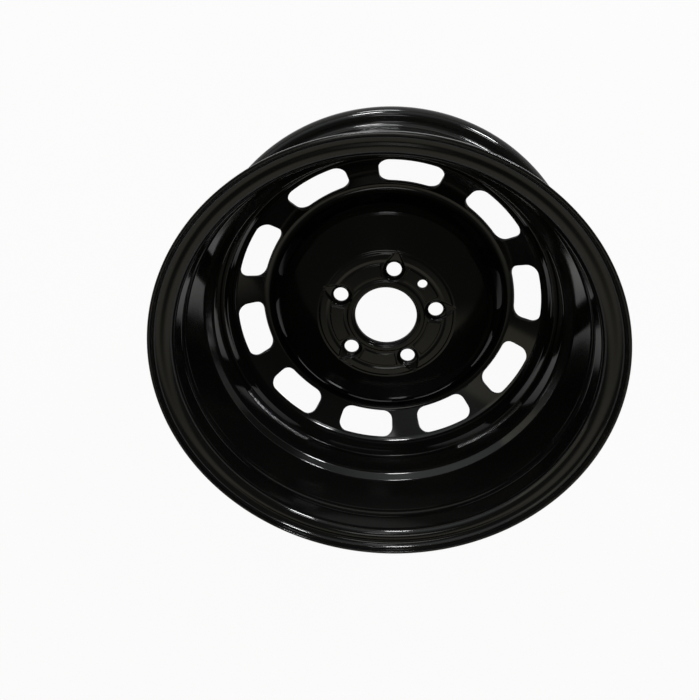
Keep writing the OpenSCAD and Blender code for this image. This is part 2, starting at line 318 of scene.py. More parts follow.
DISC_PATH = [
    (BORE_R, PAD_Z, BORE_BEND),
    (PAD_R, PAD_Z, PAD_BEND),
    (BOWL_R, PAD_Z - (BOWL_R - PAD_R) * TAN_FLOOR, BOWL_BEND),
    (CROWN[0], CROWN[1], CROWN_BEND),
    (FOLD[0], FOLD[1], FOLD_BEND),
    (SKIRT_R, SKIRT_ROOT, SKIRT_BEND),
    (SKIRT_R, SKIRT_EDGE, EDGE_R)]
COLLAR_PATH = [
    (BORE_R + COLLAR_T, PAD_BACK, COLLAR_BEND),
    (BORE_R + COLLAR_T, -COLLAR_DEPTH, EDGE_R),
    (BORE_R, -COLLAR_DEPTH, EDGE_R)]
VENT_MID = CROWN + (VENT_MARGIN + VENT_H / 2) * UP_SLOPE

# Stations of the bolt holes, lands and rings
BOLT_PITCH = 2 * math.pi / BOLT_COUNT
BOLT_ANGLES = BOLT_PITCH * np.arange(BOLT_COUNT)
THROAT_Z = PAD_Z - DISH_DEPTH
SEAT_Z = THROAT_Z - THROAT_LEN
MOUTH_R = NUT_SEAT_D / 2
MOUTH_Z = SEAT_Z - (MOUTH_R - THROAT_R) / math.tan(math.radians(SEAT_ANGLE / 2))
BOSS_R = MOUTH_R + BOSS_RIM
BOSS_FOOT_R = BOSS_R + BOSS_SLOPE
DISH_FLOOR_R = THROAT_R + DISH_FLOOR_GAP
TAIL_LEN = PAD_R + TAIL_OVERRUN - BOLT_R
TAIL_ROOT_R = (DISH_R + DISH_FLOOR_R) / 2
LOCATOR_R = LOCATOR_D / 2
INNER_LAND_R, OUTER_LAND_R = BOLT_R - LAND_INSIDE, BOLT_R + LAND_OUTSIDE
LAND_HALF = BOLT_PITCH / 2 - math.asin((DISH_R + LAND_EDGE_GAP) / BOLT_R)
# Inner and outer edge of each ring: where the middle of its slope lies and how wide the slope is
RING_EDGES = (
    ((BORE_R + BORE_BEND + COLLAR_LAND_GAP, COLLAR_SLOPE_W), (INNER_LAND_R - COLLAR_GROOVE_W, GROOVE_SLOPE_W)),
    ((OUTER_LAND_R + RING_GROOVE_W + RING_INNER_SHIFT, RING_INNER_SLOPE_W),
     (PAD_R - RING_EDGE_W - RING_OUTER_SHIFT, RING_OUTER_SLOPE_W)))


class Sheet:
    """Vertices in millimetres and faces, gathered piece by piece."""

    def __init__(self):
        self.verts, self.faces, self.count = [], [], 0

    def add(self, verts, faces):
        verts = np.asarray(verts, float)
        self.faces += [[int(i) + self.count for i in f] for f in faces]
        self.verts.append(verts)
        self.count += len(verts)

    def grid(self, rows):
        """A skin over equal closed rows of points."""
        rows = np.asarray(rows, float)
        m, n = rows.shape[:2]
        faces = []
        for j in range(m - 1):
            for i in range(n):
                k = (i + 1) % n
                faces.append((j * n + i, j * n + k, (j + 1) * n + k, (j + 1) * n + i))
        self.add(rows.reshape(-1, 3), faces)

    def solid(self, rows):
        """A skin over equal closed rows of points, with both ends covered."""
        first, n = self.count, len(rows[0])
        self.grid(rows)
        self.faces += [list(range(first, first + n)), list(range(self.count - n, self.count))]

    def mesh(self, name):
        mesh = bpy.data.meshes.new(name)
        mesh.from_pydata((np.vstack(self.verts) * MM).tolist(), [], self.faces)
        return mesh


def new_object(name, data):
    piece = bpy.data.objects.new(name, data)
    bpy.context.scene.collection.objects.link(piece)
    return piece


def plain_mesh(piece):
    """The mesh of an object with its modifiers applied."""
    graph = bpy.context.evaluated_depsgraph_get()
    return bpy.data.meshes.new_from_object(piece.evaluated_get(graph))


def node_tree(name, inputs):
    """An empty geometry tree with a geometry input and output, and named inputs for its sizes."""
    tree = bpy.data.node_groups.new(name, "GeometryNodeTree")
    tree.interface.new_socket("Geometry", in_out="INPUT", socket_type="NodeSocketGeometry")
    for label, kind in inputs:
        tree.interface.new_socket(label, in_out="INPUT", socket_type=kind)
    tree.interface.new_socket("Geometry", in_out="OUTPUT", socket_type="NodeSocketGeometry")
    return tree, tree.nodes.new("NodeGroupInput"), tree.nodes.new("NodeGroupOutput")


def finish_tree(tree, last, group_in, group_out):
    """Ends a tree: real geometry, welded seams, smooth faces and its material."""
    link = tree.links.new
    realize = tree.nodes.new("GeometryNodeRealizeInstances")
    merge = tree.nodes.new("GeometryNodeMergeByDistance")
    merge.inputs["Distance"].default_value = MERGE_DISTANCE
    smooth = tree.nodes.new("GeometryNodeSetShadeSmooth")
    paint = tree.nodes.new("GeometryNodeSetMaterial")
    link(last, realize.inputs["Geometry"])
    link(realize.outputs["Geometry"], merge.inputs["Geometry"])
    link(merge.outputs["Geometry"], smooth.inputs["Geometry"])
    link(smooth.outputs["Geometry"], paint.inputs["Geometry"])
    link(group_in.outputs["Paint"], paint.inputs["Material"])
    link(paint.outputs["Geometry"], group_out.inputs["Geometry"])


def lathe_tree():
    """Turns sections round the axle.

    They are drawn as edges, with X the radius less the turning radius and Y the height downwards.
    """
    tree, group_in, group_out = node_tree("turned_section", (
        ("Steps", "NodeSocketInt"), ("Turning Radius", "NodeSocketFloat"), ("Paint", "NodeSocketMaterial")))
    section = tree.nodes.new("GeometryNodeMeshToCurve")
    circle = tree.nodes.new("GeometryNodeCurvePrimitiveCircle")
    sweep = tree.nodes.new("GeometryNodeCurveToMesh")
    link = tree.links.new
    link(group_in.outputs["Geometry"], section.inputs["Mesh"])
    link(group_in.outputs["Steps"], circle.inputs["Resolution"])
    link(group_in.outputs["Turning Radius"], circle.inputs["Radius"])
    link(circle.outputs["Curve"], sweep.inputs["Curve"])
    link(section.outputs["Curve"], sweep.inputs["Profile Curve"])
    finish_tree(tree, sweep.outputs["Mesh"], group_in, group_out)
    return tree


def repeat_tree():
    """Repeats a piece round the axle."""
    tree, group_in, group_out = node_tree("repeated_round", (
        ("Count", "NodeSocketInt"), ("Paint", "NodeSocketMaterial")))
    points = tree.nodes.new("GeometryNodePoints")
    spread = tree.nodes.new("GeometryNodeInstanceOnPoints")
    index = tree.nodes.new("GeometryNodeInputIndex")
    turns = tree.nodes.new("ShaderNodeMath")
    turns.operation = "DIVIDE"
    angle = tree.nodes.new("ShaderNodeMath")
    angle.operation = "MULTIPLY"
    angle.inputs[1].default_value = 2 * math.pi
    about_axle = tree.nodes.new("ShaderNodeCombineXYZ")
    link = tree.links.new
    link(group_in.outputs["Count"], points.inputs["Count"])
    link(index.outputs["Index"], turns.inputs[0])
    link(group_in.outputs["Count"], turns.inputs[1])
    link(turns.outputs["Value"], angle.inputs[0])
    link(angle.outputs["Value"], about_axle.inputs["Z"])
    link(points.outputs["Points"], spread.inputs["Points"])
    link(group_in.outputs["Geometry"], spread.inputs["Instance"])
    link(about_axle.outputs["Vector"], spread.inputs["Rotation"])
    finish_tree(tree, spread.outputs["Instances"], group_in, group_out)
    return tree


LATHE = lathe_tree()
REPEAT = repeat_tree()


def run_tree(mesh, tree, values):
    """The plain mesh that a geometry tree makes of a mesh, with the tree's named inputs set."""
    carrier = new_object("carrier", mesh)
    modifier = carrier.modifiers.new("shape", "NODES")
    modifier.node_group = tree
    for item in tree.interface.items_tree:
        if item.in_out == "INPUT" and item.name in values:
            modifier[item.identifier] = values[item.name]
    made = plain_mesh(carrier)
    bpy.data.objects.remove(carrier)
    return made


def turned(sections, steps, paint):
    """Mesh of one or more sections turned round the axle. A section is (points, closed)."""
    mesh = bpy.data.meshes.new("sections")
    verts, edges = [], []
    for points, closed in sections:
        first, n = len(verts), len(points)
        verts += [((r - TURNING_R) * MM, -z * MM, 0) for r, z in points]
        edges += [(first + i, first + (i + 1) % n) for i in range(n if closed else n - 1)]
    mesh.from_pydata(verts, edges, [])
    return run_tree(mesh, LATHE, {"Steps": steps, "Turning Radius": TURNING_R * MM, "Paint": paint})


def join_meshes(name, meshes, paint):
    """One closed, smooth mesh from pieces that meet at their borders."""
    build = bmesh.new()
    for mesh in meshes:
        build.from_mesh(mesh)
        bpy.data.meshes.remove(mesh)
    bmesh.ops.remove_doubles(build, verts=build.verts, dist=MERGE_DISTANCE)
    bmesh.ops.recalc_face_normals(build, faces=build.faces)
    open_edges = sum(1 for e in build.edges if not e.is_manifold)
    print(name, "faces", len(build.faces), "open or shared edges", open_edges)
    joined = bpy.data.meshes.new(name)
    build.to_mesh(joined)
    build.free()
    joined.materials.clear()
    joined.materials.append(paint)
    joined.polygons.foreach_set("use_smooth", np.ones(len(joined.polygons), bool))
    joined.polygons.foreach_set("material_index", np.zeros(len(joined.polygons), np.int32))
    joined.set_sharp_from_angle(angle=math.radians(SHARP_ANGLE))
    return joined


def shader(name):
    material = bpy.data.materials.new(name)
    material.use_nodes = True
    return material, material.node_tree.nodes, material.node_tree.links


def noise(nodes, scale, detail):
    texture = nodes.new("ShaderNodeTexNoise")
    texture.inputs["Scale"].default_value = scale
    texture.inputs["Detail"].default_value = detail
    return texture


def map_range(nodes, low, high):
    spread = nodes.new("ShaderNodeMapRange")
    spread.inputs["From Min"].default_value = low
    spread.inputs["From Max"].default_value = high
    return spread


def maths(nodes, operation):
    node = nodes.new("ShaderNodeMath")
    node.operation = operation
    return node


def colour_mix(nodes):
    mix = nodes.new("ShaderNodeMix")
    mix.data_type = "RGBA"
    return mix


def black_paint(name, colour, dust, gloss, peel):
    """Thick black dip paint: faint orange peel, cloudy gloss and a thin film of dust."""
    material, nodes, links = shader(name)
    bsdf = nodes["Principled BSDF"]
    bsdf.inputs["Specular IOR Level"].default_value = PAINT_SPECULAR
    where = nodes.new("ShaderNodeTexCoord")
    cloud, grit, skin = (noise(nodes, *kind) for kind in (CLOUD_NOISE, GRIT_NOISE, PEEL_NOISE))
    film = maths(nodes, "MULTIPLY")
    spread = map_range(nodes, *DUST_RANGE)
    tint = colour_mix(nodes)
    tint.inputs["A"].default_value = (*colour, 1)
    tint.inputs["B"].default_value = (*dust, 1)
    rough = map_range(nodes, *CLOUD_RANGE)
    rough.inputs["To Min"].default_value = gloss[0]
    rough.inputs["To Max"].default_value = gloss[1]
    bump = nodes.new("ShaderNodeBump")
    bump.inputs["Strength"].default_value = peel
    bump.inputs["Distance"].default_value = PEEL_H
    for texture in (cloud, grit, skin):
        links.new(where.outputs["Object"], texture.inputs["Vector"])
    links.new(cloud.outputs["Fac"], film.inputs[0])
    links.new(grit.outputs["Fac"], film.inputs[1])
    links.new(film.outputs["Value"], spread.inputs["Value"])
    links.new(spread.outputs["Result"], tint.inputs["Factor"])
    links.new(tint.outputs["Result"], bsdf.inputs["Base Color"])
    links.new(cloud.outputs["Fac"], rough.inputs["Value"])
    links.new(rough.outputs["Result"], bsdf.inputs["Roughness"])
    links.new(skin.outputs["Fac"], bump.inputs["Height"])
    links.new(bump.outputs["Normal"], bsdf.inputs["Normal"])
    return material


PAINT = black_paint("black_gloss_paint", *BLACK_GLOSS)
WELD_PAINT = black_paint("weld_paint", *WELD_COAT)


def valve_drill():
    """A tool along the valve hole that also breaks the hole's two edges."""
    radius, half_wall, flare = VALVE_D / 2, RIM_T / 2, DRILL_REACH / 2
    section = [(-DRILL_REACH, radius + flare), (-half_wall, radius + VALVE_EDGE_W),
               (VALVE_EDGE_W - half_wall, radius), (half_wall - VALVE_EDGE_W, radius),
               (half_wall, radius + VALVE_EDGE_W), (DRILL_REACH, radius + flare)]
    along = unit(WALL_FOOT - HUMP_CREST)
    across = left(along)
    middle = (HUMP_CREST + WALL_FOOT) / 2 + across * half_wall * (1 if across[0] < 0 else -1)
    turn = math.radians(VALVE_ANGLE)
    outwards = np.array([math.cos(turn), math.sin(turn), 0])
    sideways = np.array([-math.sin(turn), math.cos(turn), 0])
    up = np.array([0, 0, 1])
    rows = []
    for height, r in section:
        centre = middle + across * height
        row = []
        for a in np.linspace(0, 2 * math.pi, VALVE_STEPS + 1)[:-1]:
            place = centre + along * r * math.cos(a)
            row.append(outwards * place[0] + up * place[1] + sideways * r * math.sin(a))
        rows.append(row)
    sheet = Sheet()
    sheet.solid(rows)
    build = bmesh.new()
    build.from_mesh(sheet.mesh("drill"))
    bmesh.ops.recalc_face_normals(build, faces=build.faces)
    mesh = bpy.data.meshes.new("drill")
    build.to_mesh(mesh)
    build.free()
    return mesh


def rim_barrel():
    """The rolled rim with its valve hole."""
    arcs = bends(RIM_PATH + other_face(RIM_PATH, RIM_T)[::-1])
    outline = chain(*arcs, arcs[0][:1])[:-1]
    rim = new_object("rim", join_meshes("rim", [turned([(outline, True)], RIM_STEPS, PAINT)], PAINT))
    drill = new_object("valve_drill", valve_drill())
    cut = rim.modifiers.new("valve_hole", "BOOLEAN")
    cut.operation = "DIFFERENCE"
    cut.solver = "EXACT"
    cut.object = drill
    drilled = plain_mesh(rim)
    for piece in (rim, drill):
        bpy.data.objects.remove(piece)
    return join_meshes("rim_barrel", [drilled], PAINT)


def vent_outline():
    """Dense outline of a vent window flat on the slope, and its outward normals."""
    corners = [(VENT_INNER_W / 2, -VENT_H / 2, VENT_INNER_R), (VENT_OUTER_W / 2, VENT_H / 2, VENT_OUTER_R),
               (-VENT_OUTER_W / 2, VENT_H / 2, VENT_OUTER_R), (-VENT_INNER_W / 2, -VENT_H / 2, VENT_INNER_R)]
    arcs = bends(corners)
    loop = np.vstack(arcs + [arcs[0][:1]])
    lengths = lengths_along(loop)
    even = np.linspace(0, lengths[-1], VENT_POINTS + 1)[:-1]
    points = np.column_stack([np.interp(even, lengths, loop[:, i]) for i in (0, 1)])
    unrolled_r = VENT_MID[0] / UP_SLOPE[0]
    points[:, 1] -= points[:, 0] ** 2 / (2 * unrolled_r)
    along = np.roll(points, -1, axis=0) - np.roll(points, 1, axis=0)
    along = sum(np.roll(along, k, axis=0) for k in range(-VENT_SMOOTHING, VENT_SMOOTHING + 1))
    normals = np.column_stack([along[:, 1], -along[:, 0]])
    return points, normals / np.linalg.norm(normals, axis=1)[:, None]


def round_outline(seen, polar, values):
    """Values of a closed outline where it is seen under given angles from its middle."""
    wrap = np.append(polar, polar[0] + 2 * math.pi)
    return np.column_stack([np.interp(seen, wrap, np.append(v, v[0])) for v in values.T])


def flat_to_face(points, lay):
    """Meets the face that lies lay above the hub face: radius, angle, height and the distance up the slope."""
    x, y = points[:, 0], points[:, 1]
    t = np.full(len(x), float(lay))
    for _ in range(FACE_TRIES):
        outwards = VENT_MID[0] + y * UP_SLOPE[0] + t * OFF_SLOPE[0]
        r = np.hypot(outwards, x)
        z = VENT_MID[1] + y * UP_SLOPE[1] + t * OFF_SLOPE[1]
        t -= (r - VENT_MID[0]) * OFF_SLOPE[0] + (z - VENT_MID[1]) * OFF_SLOPE[1] - lay
    slope = (r - VENT_MID[0]) * UP_SLOPE[0] + (z - VENT_MID[1]) * UP_SLOPE[1]
    return r, np.arctan2(x, outwards), z, slope


def sector_face(profile, lay, inward):
    """Rows of points of one face of a vent sector, from its border to the rounded edge of its window."""
    half = math.pi / VENT_COUNT
    lengths = lengths_along(profile)
    straight = int(np.argmax(np.diff(lengths)))
    middle = lengths[straight] + (VENT_MID + OFF_SLOPE * lay - profile[straight]) @ UP_SLOPE
    turns = np.linspace(-half, half, DISC_STEPS // VENT_COUNT + 1)
    plain = np.linspace(lengths[straight], lengths[straight + 1], SLOPE_STEPS + 1)[1:-1]
    climbs = np.concatenate([lengths[:straight + 1], plain, lengths[straight + 1:]])
    border = np.array([(0, f) for f in turns[:-1]] + [(a, half) for a in climbs[:-1]]
                      + [(lengths[-1], -f) for f in turns[:-1]] + [(a, -half) for a in climbs[:0:-1]])
    outline, outward = vent_outline()
    polar = np.unwrap(np.arctan2(outline[:, 1], outline[:, 0]))
    seen = np.arctan2(border[:, 0] - middle, border[:, 1] * VENT_MID[0])
    seen = np.mod(seen - polar[0], 2 * math.pi) + polar[0]
    base = round_outline(seen, polar, outline)
    away = round_outline(seen, polar, outward)
    _, angle, _, slope = flat_to_face(base + away * VENT_EDGE_R, lay)
    window = np.column_stack([slope + middle, angle])
    rows = []
    for part in SECTOR_ROWS:
        place = border * (1 - part) + window * part
        radius, height = on_profile(profile, place[:, 0])
        rows.append(round_axle(radius, place[:, 1], height))
    through = np.array([OFF_SLOPE[0], 0, OFF_SLOPE[1]]) * inward
    for k in range(1, VENT_EDGE_STEPS + 1):
        roll = k * math.pi / (2 * VENT_EDGE_STEPS)
        r, angle, z, _ = flat_to_face(base + away * VENT_EDGE_R * (1 - math.sin(roll)), lay)
        rows.append(round_axle(r, angle, z) + through * VENT_EDGE_R * (1 - math.cos(roll)))
    return rows


def vent_sector(hub_profile, street_profile):
    """One sector of the shoulder with its window: both faces, the rounded edges and the punched wall."""
    hub = sector_face(hub_profile, 0, -1)
    street = sector_face(street_profile, -DISC_T, 1)
    sheet = Sheet()
    sheet.grid(hub + street[::-1])
    return sheet.mesh("vent_sector")


def soft_step(distance, width):
    """From 0 to 1 across the edge of a coined land."""
    t = np.clip(distance / width + 0.5, 0, 1)
    return t * t * (3 - 2 * t)


def soft_min(a, b):
    """The lower of two heights, blended where they cross."""
    h = np.clip(0.5 + 0.5 * (b - a) / DISH_BLEND, 0, 1)
    return a * h + b * (1 - h) - DISH_BLEND * h * (1 - h)


def bolt_places(points):
    """Distance along the spoke line and across it, from each bolt's axis."""
    for angle in BOLT_ANGLES:
        along = points[:, 0] * math.cos(angle) + points[:, 1] * math.sin(angle) - BOLT_R
        across = points[:, 1] * math.cos(angle) - points[:, 0] * math.sin(angle)
        yield along, across


def locator_distance(points):
    half = BOLT_PITCH / 2
    return np.hypot(points[:, 0] - BOLT_R * math.cos(half), points[:, 1] - BOLT_R * math.sin(half))


def locator_drop(points):
    """How far a face drops at the rolled edge of the locating hole."""
    gap = np.clip(LOCATOR_EDGE_R + LOCATOR_R - locator_distance(points), 0, LOCATOR_EDGE_R)
    return LOCATOR_EDGE_R - np.sqrt(LOCATOR_EDGE_R ** 2 - gap ** 2)


def land_share(r, angle):
    """From 0 on the pad's sheet to 1 on its coined rings and lands."""
    ring = np.zeros(len(r))
    for (low, low_w), (high, high_w) in RING_EDGES:
        ring = np.maximum(ring, soft_step(r - low, low_w) * soft_step(high - r, high_w))
    off = np.abs(np.mod(angle, BOLT_PITCH) - BOLT_PITCH / 2)
    land = soft_step(r - INNER_LAND_R, LAND_SLOPE_W) * soft_step(OUTER_LAND_R - r, LAND_SLOPE_W)
    land = land * soft_step((LAND_HALF - off) * r, LAND_SLOPE_W)
    return np.maximum(ring, land)


def pad_heights(points, profile):
    """Hub side of the pad: lands, dishes with their tails and the locating hole's edge."""
    r = np.hypot(points[:, 0], points[:, 1])
    angle = np.arctan2(points[:, 1], points[:, 0])
    z = np.interp(r, profile[:, 0], profile[:, 1]) + LAND_H * land_share(r, angle)
    lean = math.asin(TAIL_ROOT_R / TAIL_LEN)
    root = TAIL_ROOT_R * TAIL_ROOT_R / TAIL_LEN
    for along, across in bolt_places(points):
        rho = np.hypot(along, across)
        cone = PAD_Z - (DISH_R - rho) * DISH_DEPTH / (DISH_R - DISH_FLOOR_R)
        z = soft_min(z, np.maximum(cone, THROAT_Z))
        wide = np.abs(across) * math.cos(lean) - (TAIL_LEN - along) * math.sin(lean)
        tail_floor = PAD_Z - TAIL_DEPTH * (1 - along / TAIL_LEN)
        z = soft_min(z, tail_floor + TAIL_STEEP * (np.maximum(wide, 0) + np.maximum(root - along, 0)))
    return z - locator_drop(points)


def boss_profile():
    """Nut seat and boss on the street side: distance from the bolt's axis and height."""
    return chain(*bends([
        (THROAT_R, SEAT_Z, 0), (MOUTH_R, MOUTH_Z, MOUTH_BEND), (BOSS_R, MOUTH_Z, BOSS_BEND),
        (BOSS_FOOT_R, PAD_BACK, BOSS_FOOT_BEND), (BOSS_FOOT_R + BOSS_BORDER, PAD_BACK, 0)]))


def back_heights(points, profile):
    """Street side of the pad with its nut bosses."""
    r = np.hypot(points[:, 0], points[:, 1])
    z = np.interp(r, profile[:, 0], profile[:, 1])
    boss = boss_profile()
    for along, across in bolt_places(points):
        rho = np.hypot(along, across)
        z = np.where(rho < boss[-1, 0], np.interp(rho, boss[:, 0], boss[:, 1]), z)
    return z + locator_drop(points)


def hole_rings(radii, steps, angle):
    """Rings of points round an axis on the bolt circle."""
    turn = np.arange(steps) * 2 * math.pi / steps
    rings = [np.column_stack([BOLT_R + rho * np.cos(turn), rho * np.sin(turn)]) for rho in radii]
    c, s = math.cos(angle), math.sin(angle)
    return np.vstack(rings) @ np.array([[c, s], [-s, c]])


def pad_points(rows, bolt_rings, locator_rings, fine_near):
    """Plan of a pad's sheet: circles that are finer near the tails, and rings round the holes."""
    step = 2 * math.pi / DISC_STEPS
    even = step * np.arange(DISC_STEPS)
    off = np.abs(np.mod(even + step / 2 + BOLT_PITCH / 2, BOLT_PITCH) - BOLT_PITCH / 2)
    circles = []
    for r in rows:
        inner = rows[0] < r < rows[-1]
        angles = np.concatenate([even, even[off * r < fine_near] + step / 2]) if inner else even
        circles.append(np.column_stack([r * np.cos(angles), r * np.sin(angles)]))
    points = np.vstack(circles)
    clear = locator_distance(points) > locator_rings[-1] + RING_CLEAR
    for along, across in bolt_places(points):
        clear &= np.hypot(along, across) > bolt_rings[-1] + RING_CLEAR
    rings = [hole_rings(bolt_rings, BOLT_STEPS, angle) for angle in BOLT_ANGLES]
    return np.vstack([points[clear], hole_rings(locator_rings, LOCATOR_STEPS, BOLT_PITCH / 2), *rings])


def pad_sheet(rows, bolt_rings, locator_rings, fine_near, heights):
    """A fine sheet between two circles, with the bolt holes and the locating hole left open."""
    points = pad_points(rows, bolt_rings, locator_rings, fine_near)
    plan, _, faces, *_ = delaunay_2d_cdt([Vector(p) for p in points.tolist()], [], [], 0, PLAN_EPSILON)
    plan = np.array([(p.x, p.y) for p in plan])
    faces = np.array(list(faces))
    middle = plan[faces].mean(axis=1)
    far = np.hypot(middle[:, 0], middle[:, 1])
    inside = (far > rows[0] * math.cos(math.pi / DISC_STEPS) - ROUNDING) & (far < rows[-1])
    inside &= locator_distance(middle) > LOCATOR_R * math.cos(math.pi / LOCATOR_STEPS)
    for along, across in bolt_places(middle):
        inside &= np.hypot(along, across) > THROAT_R * math.cos(math.pi / BOLT_STEPS)
    sheet = Sheet()
    sheet.add(np.column_stack([plan, heights(plan)]), faces[inside])
    return sheet


def hole_walls(hub_heights, street_heights):
    """Straight walls of the bolt holes and the locating hole."""
    sheet = Sheet()
    for angle in BOLT_ANGLES:
        ring = hole_rings([THROAT_R], BOLT_STEPS, angle)
        sheet.grid([np.column_stack([ring, np.full(len(ring), z)]) for z in (THROAT_Z, SEAT_Z)])
    ring = hole_rings([LOCATOR_R], LOCATOR_STEPS, BOLT_PITCH / 2)
    sheet.grid([np.column_stack([ring, heights(ring)]) for heights in (hub_heights, street_heights)])
    return sheet


def wheel_disc():
    """The pressed disc: pad, bowl, vented shoulder and skirt."""
    street = other_face(DISC_PATH, -DISC_T)
    arcs = bends(DISC_PATH + street[:0:-1] + COLLAR_PATH)
    bore, pad, bowl, crown, fold, root, edge = arcs[:len(DISC_PATH)]
    back_edge, back_root, back_fold, back_crown, back_bowl, back_pad, *collar = arcs[len(DISC_PATH):]
    half, back_half = len(crown) // 2, len(back_crown) // 2

    # Where the pad's two sheets end
    floor_out = PAD_R + PAD_BORDER
    hub_rim = np.array([[floor_out, PAD_Z - PAD_BORDER * TAN_FLOOR]])
    back_slope = unit(back_bowl[-1] - back_pad[0])
    back_rim = back_pad[:1] + back_slope * (floor_out - back_pad[0, 0]) / back_slope[0]
    back_in = np.array([[BORE_R + COLLAR_T + COLLAR_BEND + COLLAR_BORDER, PAD_BACK]])

    # Turned stretches and the vented shoulder between them
    stretches = (
        (back_in, *collar, bore),
        (hub_rim, bowl, crown[:half + 1]),
        (fold[-1:], root, edge, back_edge, back_root, back_fold[:1]),
        (back_crown[back_half:], back_bowl, back_rim))
    plain = turned([(chain(*parts), False) for parts in stretches], DISC_STEPS, PAINT)
    hub_profile = np.vstack([crown[half:], fold])
    street_profile = np.vstack([back_fold, back_crown[:back_half + 1]])[::-1]
    sector = vent_sector(hub_profile, street_profile)
    shoulder = run_tree(sector, REPEAT, {"Count": VENT_COUNT, "Paint": PAINT})

    # Both sides of the pad
    hub_heights = partial(pad_heights, profile=np.vstack([bore[-1:], pad, hub_rim]))
    street_heights = partial(back_heights, profile=np.vstack([back_in, back_pad[::-1], back_rim]))
    hub_rows = np.linspace(bore[-1, 0], floor_out, PAD_ROWS)
    flat_rows = np.linspace(back_in[0, 0], back_pad[-1, 0], BACK_ROWS)
    back_rows = np.concatenate([flat_rows, back_pad[-2::-1, 0], [floor_out]])
    dish_rings = THROAT_R + np.array(DISH_RINGS)
    locator_rings = LOCATOR_R + LOCATOR_EDGE_R * np.array(LOCATOR_RINGS)
    boss_rings = boss_profile()[:, 0]
    boss_rings = boss_rings[np.append(True, np.diff(boss_rings) > BOSS_RING_GAP)][:-1]
    hub_sheet = pad_sheet(hub_rows, dish_rings, locator_rings, TAIL_FINE_W, hub_heights)
    back_sheet = pad_sheet(back_rows, boss_rings, locator_rings, 0, street_heights)
    walls = hole_walls(hub_heights, street_heights)

    disc = join_meshes("wheel_disc", [plain, shoulder, hub_sheet.mesh("pad"), back_sheet.mesh("back"),
                                      walls.mesh("walls")], PAINT)
    even_shine(disc, hub_heights, bore[-1, 0], floor_out, ((hub_profile, 1), (street_profile, -1)))
    return disc


def pad_shine(places, heights, low_r, high_r):
    """Normals of the pad's formula, and which points lie on the pad."""
    plan = places[:, :2]
    r = np.hypot(*plan.T)
    on_pad = (r > low_r + PAD_EDGE_GAP) & (r < high_r - PAD_EDGE_GAP)
    on_pad &= np.abs(places[:, 2] - heights(plan)) < ON_PAD
    on_pad &= locator_distance(plan) > LOCATOR_R + HOLE_EDGE_GAP
    for along, across in bolt_places(plan):
        on_pad &= np.hypot(along, across) > THROAT_R + HOLE_EDGE_GAP
    slope_x, slope_y = ((heights(plan + d) - heights(plan - d)) / (2 * SLOPE_REACH)
                        for d in np.eye(2) * SLOPE_REACH)
    return np.column_stack([-slope_x, -slope_y, np.ones(len(plan))]), on_pad


def profile_normals(profile):
    """Normals at the points of a profile that runs from a bend along a straight stretch to another bend."""
    steps = np.diff(profile, axis=0)
    straight = int(np.argmax(np.linalg.norm(steps, axis=1)))
    angles = np.arctan2(steps[:, 1], steps[:, 0])
    before = angles[straight] + (angles[1] - angles[0]) * np.arange(-straight, 1)
    after = angles[straight] + (angles[-1] - angles[-2]) * np.arange(len(steps) - straight)
    angles = np.concatenate([before, after])
    return np.column_stack([-np.sin(angles), np.cos(angles)])


def shoulder_shine(places, profile, side):
    """For each stretch of a turned profile: which points lie on it, and their normals."""
    plan = places[:, :2]
    r = np.hypot(*plan.T)
    lean = profile_normals(profile) * side
    for i, along in enumerate(np.diff(profile, axis=0)):
        gone = np.column_stack([r, places[:, 2]]) - profile[i]
        part = gone @ along / (along @ along)
        near = np.abs(gone @ left(along)) < ON_SHOULDER * np.linalg.norm(along)
        here = near & (part > -ROUNDING) & (part < 1 + ROUNDING)
        mixed = lean[i] + part[here, None] * (lean[i + 1] - lean[i])
        outwards = plan[here] / r[here, None] * mixed[:, :1]
        yield here, np.column_stack([outwards, mixed[:, 1]])


def even_shine(mesh, heights, low_r, high_r, profiles):
    """Gives the pad and the vented shoulder the normals of their formulas, so that fine edges shine evenly."""
    places = np.empty(3 * len(mesh.vertices))
    mesh.vertices.foreach_get("co", places)
    places = places.reshape(-1, 3) / MM
    normals, known = pad_shine(places, heights, low_r, high_r)
    for profile, side in profiles:
        for here, turned_normals in shoulder_shine(places, profile, side):
            normals[here] = turned_normals
            known |= here
    normals /= np.linalg.norm(normals, axis=1)[:, None]
    corners = np.empty(len(mesh.loops), np.int32)
    mesh.loops.foreach_get("vertex_index", corners)
    shine = np.empty(3 * len(mesh.loops), np.float32)
    mesh.corner_normals.foreach_get("vector", shine)
    shine = np.where(known[corners][:, None], normals[corners], shine.reshape(-1, 3))
    mesh.normals_split_custom_set(shine.tolist())


